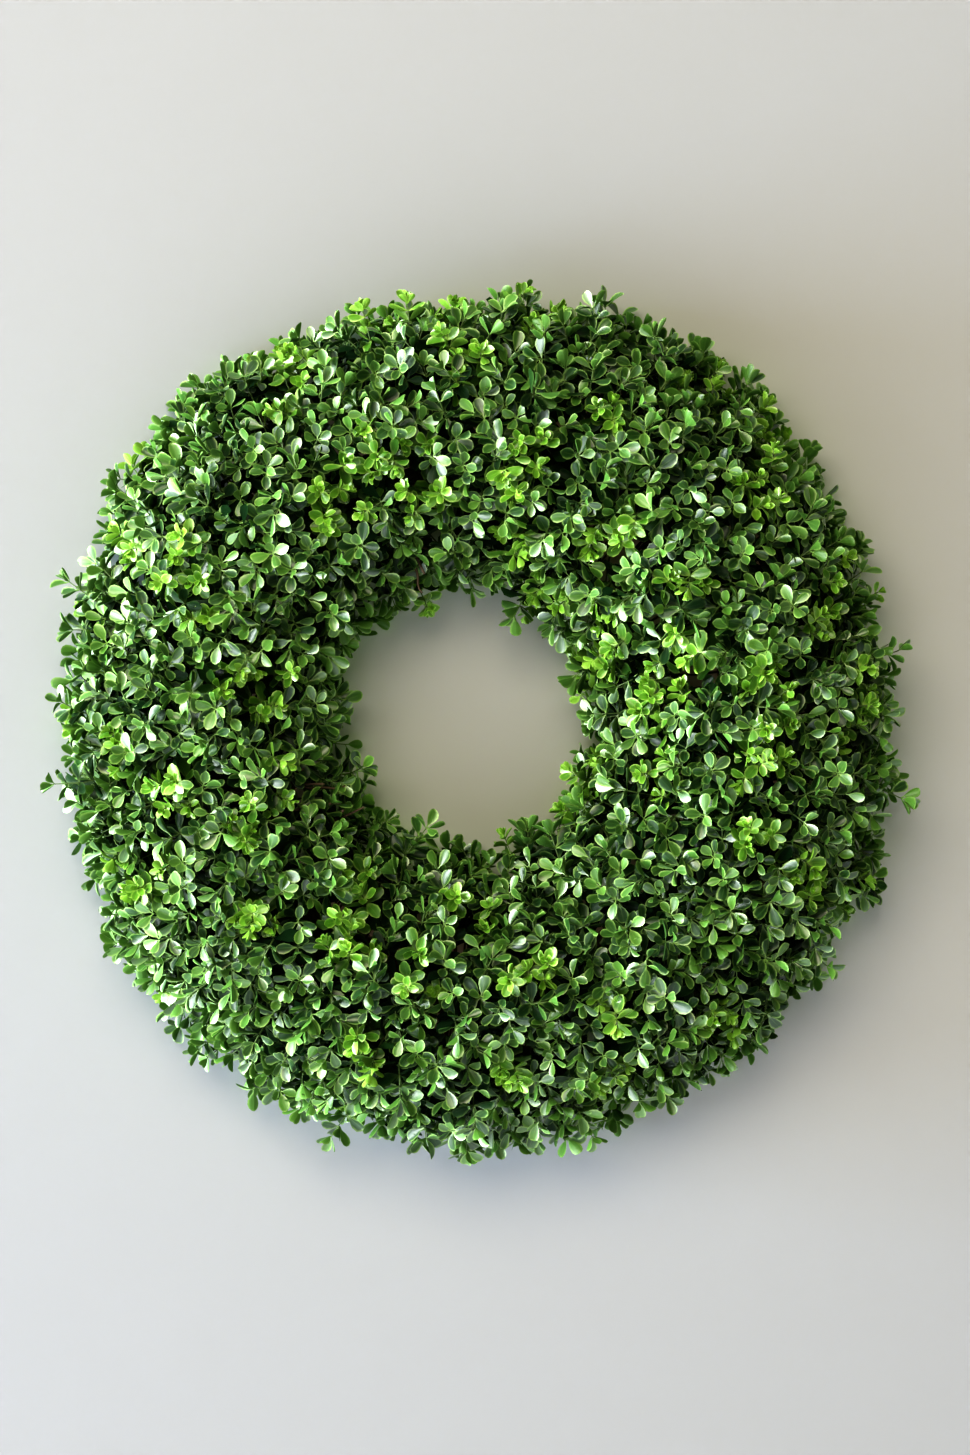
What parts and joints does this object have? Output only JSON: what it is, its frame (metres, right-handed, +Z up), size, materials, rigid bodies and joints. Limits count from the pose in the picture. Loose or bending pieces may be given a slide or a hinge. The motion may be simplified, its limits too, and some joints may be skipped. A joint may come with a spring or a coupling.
{
  "type": "boxwood wreath",
  "caption": "Round artificial boxwood wreath: leafy sprays in two greens on a ring of twisted vines, with a wire loop at the back to hang it on a wall.",
  "frame": {"origin": "where the nail that carries the wreath stands in the wall, at the inner top of the hanger's loop; the wall is the plane Y = 0", "axes": "+Z up, the wreath's front faces -Y, +X to the right as seen from the front"},
  "size_m": [0.7505, 0.179, 0.7709],
  "materials": {
    "boxwood_grown": "moulded plastic leaves, dark green with a soft waxy gloss, lighter rims and midribs",
    "boxwood_young": "moulded plastic leaves, fresh yellow green with a soft waxy gloss",
    "vine": "dry brown vine bark, matte and stringy",
    "binding_wire": "thin brown coated wire",
    "hanger_wire": "brown coated wire, twisted at the neck"
  },
  "bodies": {
    "root": {"binding_wire_01": "binding_wire", "binding_wire_02": "binding_wire", "binding_wire_03": "binding_wire", "front_inner_grown_02": "boxwood_grown", "front_inner_grown_04": "boxwood_grown", "front_inner_grown_06": "boxwood_grown", "front_inner_grown_08": "boxwood_grown", "front_inner_grown_10": "boxwood_grown", "front_inner_grown_11": "boxwood_grown", "front_inner_young_01": "boxwood_young", "front_inner_young_03": "boxwood_young", "front_inner_young_05": "boxwood_young", "front_inner_young_07": "boxwood_young", "front_inner_young_09": "boxwood_young", "front_outer_grown_02": "boxwood_grown", "front_outer_grown_03": "boxwood_grown", "front_outer_grown_04": "boxwood_grown", "front_outer_grown_06": "boxwood_grown", "front_outer_grown_08": "boxwood_grown", "front_outer_grown_10": "boxwood_grown", "front_outer_grown_12": "boxwood_grown", "front_outer_grown_14": "boxwood_grown", "front_outer_young_01": "boxwood_young", "front_outer_young_05": "boxwood_young", "front_outer_young_07": "boxwood_young", "front_outer_young_09": "boxwood_young", "front_outer_young_11": "boxwood_young", "front_outer_young_13": "boxwood_young", "inner_grown_02": "boxwood_grown", "inner_grown_04": "boxwood_grown", "inner_grown_05": "boxwood_grown", "inner_grown_06": "boxwood_grown", "inner_grown_07": "boxwood_grown", "inner_grown_08": "boxwood_grown", "inner_young_01": "boxwood_young", "inner_young_03": "boxwood_young", "outer_grown_02": "boxwood_grown", "outer_grown_03": "boxwood_grown", "outer_grown_05": "boxwood_grown", "outer_grown_07": "boxwood_grown", "outer_grown_09": "boxwood_grown", "outer_grown_10": "boxwood_grown", "outer_grown_11": "boxwood_grown", "outer_grown_13": "boxwood_grown", "outer_grown_14": "boxwood_grown", "outer_grown_15": "boxwood_grown", "outer_grown_16": "boxwood_grown", "outer_young_01": "boxwood_young", "outer_young_04": "boxwood_young", "outer_young_06": "boxwood_young", "outer_young_08": "boxwood_young", "outer_young_12": "boxwood_young", "vine_01": "vine", "vine_02": "vine", "vine_03": "vine", "vine_04": "vine", "wall_hanger": "hanger_wire"}
  },
  "joints": []
}
